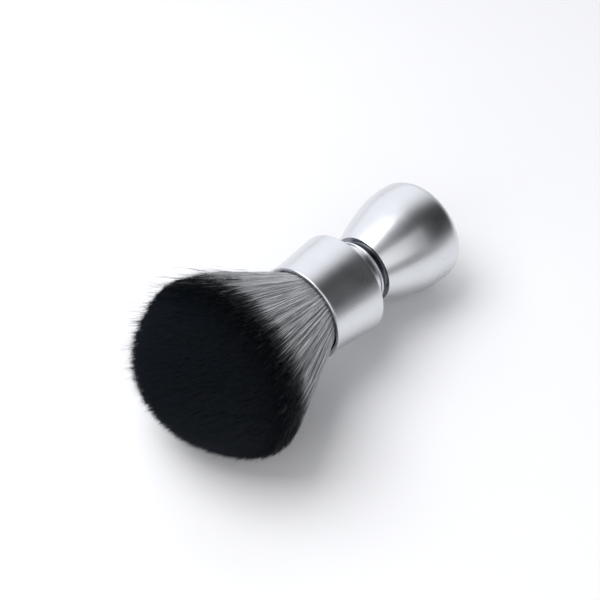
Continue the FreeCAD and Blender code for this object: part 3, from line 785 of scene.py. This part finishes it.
core = turned_mesh(
    "bristle_core", core_outline(CORE_DEPTH, CORE_STEPS), CORE_AROUND, packed_fibre_in_shade(), SHARP)
sag(core)
press_on_surface(core)
bristles.append(core)
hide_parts("bristle_head")

for piece in bristles:
    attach(piece, "root")

# ---------------------------------------------------------------- studio
HALF = 4                                    # half the floor's side, in metres
floor_mesh = bpy.data.meshes.new("paper_floor")
floor_mesh.from_pydata(
    [(-HALF, -HALF, 0), (HALF, -HALF, 0), (HALF, HALF, 0), (-HALF, HALF, 0)], [], [(0, 1, 2, 3)])
floor_mesh.materials.append(pale_paper())
floor = bpy.data.objects.new("paper_floor", floor_mesh)
bpy.context.scene.collection.objects.link(floor)


def toward(azimuth, elevation):
    """The direction at this azimuth, from +X towards +Y, and elevation, in degrees."""
    a, e = math.radians(azimuth), math.radians(elevation)
    return Vector((math.cos(a) * math.cos(e), math.sin(a) * math.cos(e), math.sin(e)))


def softbox(name, azimuth, elevation, distance, width, height, brightness):
    """A soft rectangular light that looks at the origin, with this radiance on its face."""
    light = bpy.data.lights.new(name, "AREA")
    light.shape = "RECTANGLE"
    light.size, light.size_y = width, height
    light.energy = brightness * math.pi * width * height
    lamp = bpy.data.objects.new(name, light)
    lamp.location = toward(azimuth, elevation) * distance
    lamp.rotation_mode = "QUATERNION"
    lamp.rotation_quaternion = toward(azimuth, elevation).to_track_quat("Z", "Y")
    bpy.context.scene.collection.objects.link(lamp)


LIGHT_DISTANCE = 0.8
LIGHTS = (
    # name, azimuth, elevation, width, height, radiance
    ("key_softbox", 120, 66, 0.56, 0.56, 4.5),
    ("fill_softbox", 188, 35, 0.7, 0.6, 1.15),
    ("side_softbox", -105, 42, 0.75, 0.62, 0.85),
)
for name, azimuth, elevation, width, height, brightness in LIGHTS:
    softbox(name, azimuth, elevation, LIGHT_DISTANCE, width, height, brightness)

# A pale room: a bright sweep of paper behind the brush, and an unlit corner to its right.
ROOM_LIGHT, SWEEP_LIGHT, CORNER_LOSS = 0.31, 0.88, 0.28
SWEEP_WAY, CORNER_WAY = toward(60, 22), toward(-40, 42)
SWEEP_EDGE, SWEEP_FULL = math.cos(math.radians(62)), math.cos(math.radians(16))
CORNER_EDGE, CORNER_FULL = math.cos(math.radians(44)), math.cos(math.radians(24))
world = bpy.data.worlds.new("pale_studio")
world.use_nodes = True
sky = world.node_tree
sky.nodes.clear()
way = add(sky, "ShaderNodeTexCoord").outputs["Generated"]
to_sweep = add(sky, "ShaderNodeVectorMath", {"operation": "DOT_PRODUCT"}, {
    0: way, 1: tuple(SWEEP_WAY)})
sweep = add(sky, "ShaderNodeMapRange", {"interpolation_type": "SMOOTHSTEP"}, {
    0: to_sweep.outputs["Value"], 1: SWEEP_EDGE, 2: SWEEP_FULL,
    3: 0.0, 4: SWEEP_LIGHT})
to_corner = add(sky, "ShaderNodeVectorMath", {"operation": "DOT_PRODUCT"}, {
    0: way, 1: tuple(CORNER_WAY)})
corner = add(sky, "ShaderNodeMapRange", {"interpolation_type": "SMOOTHSTEP"}, {
    0: to_corner.outputs["Value"], 1: CORNER_EDGE, 2: CORNER_FULL,
    3: ROOM_LIGHT, 4: ROOM_LIGHT - CORNER_LOSS})
strength = add(sky, "ShaderNodeMath", {"operation": "ADD"}, {
    0: sweep.outputs[0], 1: corner.outputs[0]})
glow = add(sky, "ShaderNodeBackground", {}, {
    "Color": linear("#fafbff"), "Strength": strength.outputs[0]})
add(sky, "ShaderNodeOutputWorld", {}, {"Surface": glow.outputs[0]})
bpy.context.scene.world = world
bpy.context.scene.view_settings.view_transform = "Standard"

# ---------------------------------------------------------------- camera
# A 100 mm lens on a 36 mm sensor, looking down at the lying brush from beyond its bristles.
LENS, SENSOR = 100.0, 36.0
DISTANCE = 527.8 * MM                      # from the lens to the ferrule's mouth
LOOK_AZIMUTH, LOOK_DOWN = 42.77, 49.27     # the way it looks, in degrees
ASIDE, BELOW = 0.0002, 0.00846             # where the mouth stands off the view's centre

look = toward(LOOK_AZIMUTH, -LOOK_DOWN)
right = look.cross(Vector((0, 0, 1))).normalized()
up = right.cross(look)
camera_data = bpy.data.cameras.new("camera")
camera_data.lens, camera_data.sensor_width = LENS, SENSOR
camera = bpy.data.objects.new("camera", camera_data)
camera.location = MOUTH + (up * BELOW + right * ASIDE - look) * DISTANCE
camera.rotation_mode = "QUATERNION"
camera.rotation_quaternion = (-look).to_track_quat("Z", "Y")
bpy.context.scene.collection.objects.link(camera)
bpy.context.scene.camera = camera
